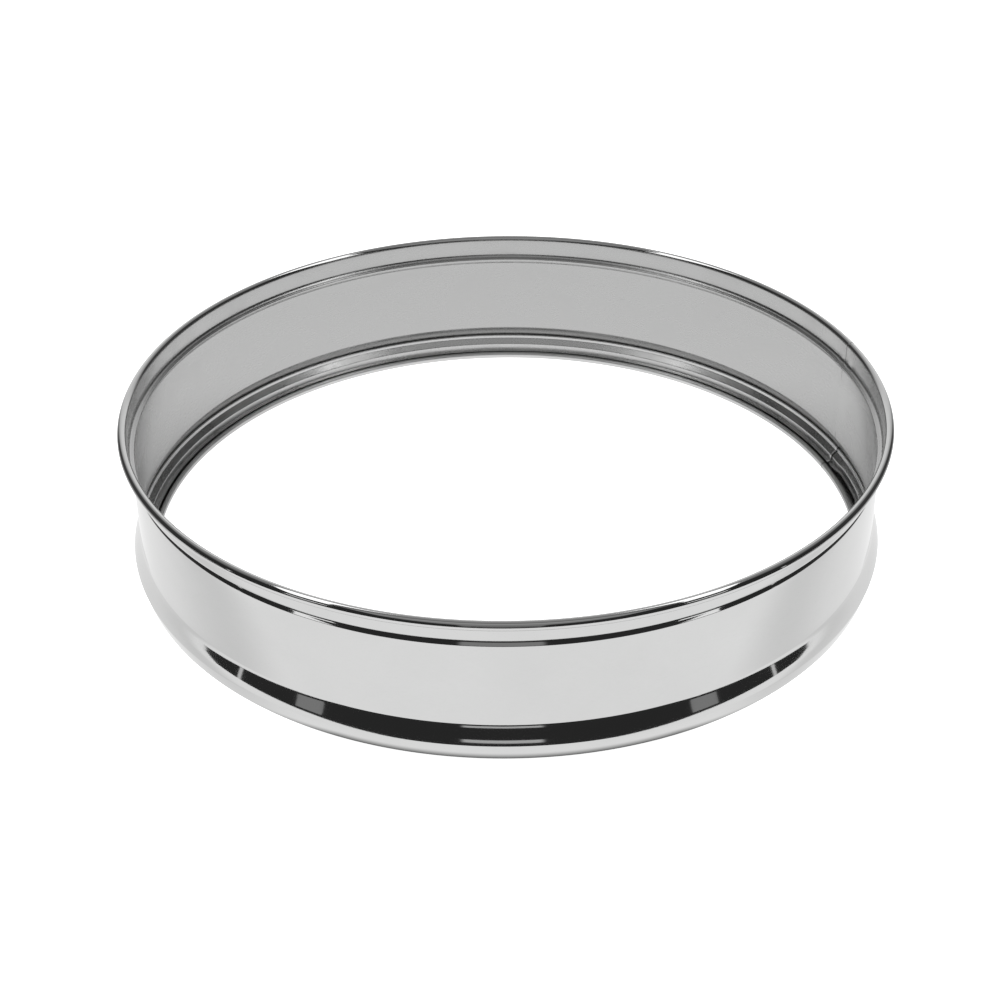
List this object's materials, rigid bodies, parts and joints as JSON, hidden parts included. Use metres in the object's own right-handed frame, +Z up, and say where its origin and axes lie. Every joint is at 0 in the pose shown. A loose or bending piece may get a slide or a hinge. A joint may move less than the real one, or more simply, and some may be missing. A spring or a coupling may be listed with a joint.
{
  "type": "soil sieve",
  "caption": "Round open sieve frame of polished stainless sheet with a rolled rim, a flared foot and an inner seat for a screen.",
  "frame": {"origin": "centre of the flat annulus that the foot stands on", "axes": "+Z up through the open middle towards the rolled rim; -Y faces the viewer, and the welded seam is 16.5 degrees from +X towards +Y"},
  "size_m": [0.3, 0.3, 0.0593],
  "materials": {
    "polished_sheet": "polished stainless",
    "weld_metal": "ground weld, slightly dull",
    "drawn_wire": "drawn wire",
    "ring_sheet": "rolled stainless, satin"
  },
  "bodies": {
    "root": {"frame_shell": "polished_sheet", "seam_weld": "weld_metal", "rim_wire": "drawn_wire", "base_wire": "drawn_wire", "clamp_ring": "ring_sheet"}
  },
  "joints": []
}
